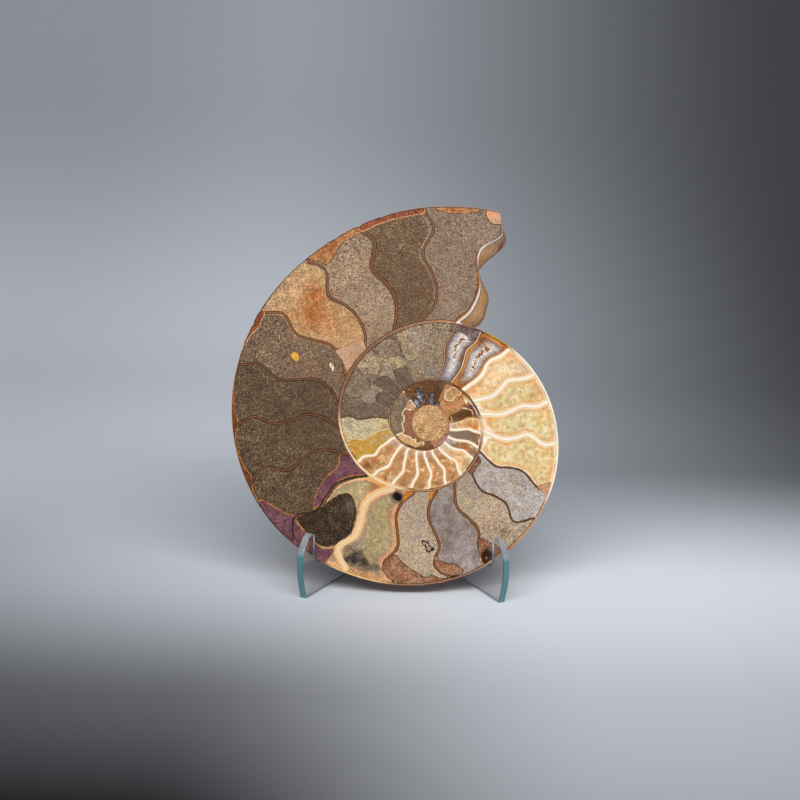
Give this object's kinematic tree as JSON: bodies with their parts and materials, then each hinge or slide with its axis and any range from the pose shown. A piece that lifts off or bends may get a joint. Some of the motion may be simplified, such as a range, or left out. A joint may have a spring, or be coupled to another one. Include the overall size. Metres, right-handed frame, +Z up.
{
  "type": "ammonite fossil half on stand",
  "caption": "Polished ammonite fossil half with chambered spiral, leaning back on a clear acrylic easel stand of two crossed panels with hooked feet.",
  "frame": {"origin": "middle of the whole object's box, on the surface it stands on", "axes": "+Z up, the polished face looks along -Y and leans back, the shell's open end is at the upper right (+X)"},
  "size_m": [0.1428, 0.1022, 0.1643],
  "materials": {
    "fossil_stone": "polished face, satin natural back",
    "clear_acrylic": "clear and glossy, faintly teal at the edges"
  },
  "bodies": {
    "root": {"ammonite_half": "fossil_stone", "stand_panel_left": "clear_acrylic", "stand_panel_right": "clear_acrylic"}
  },
  "joints": []
}
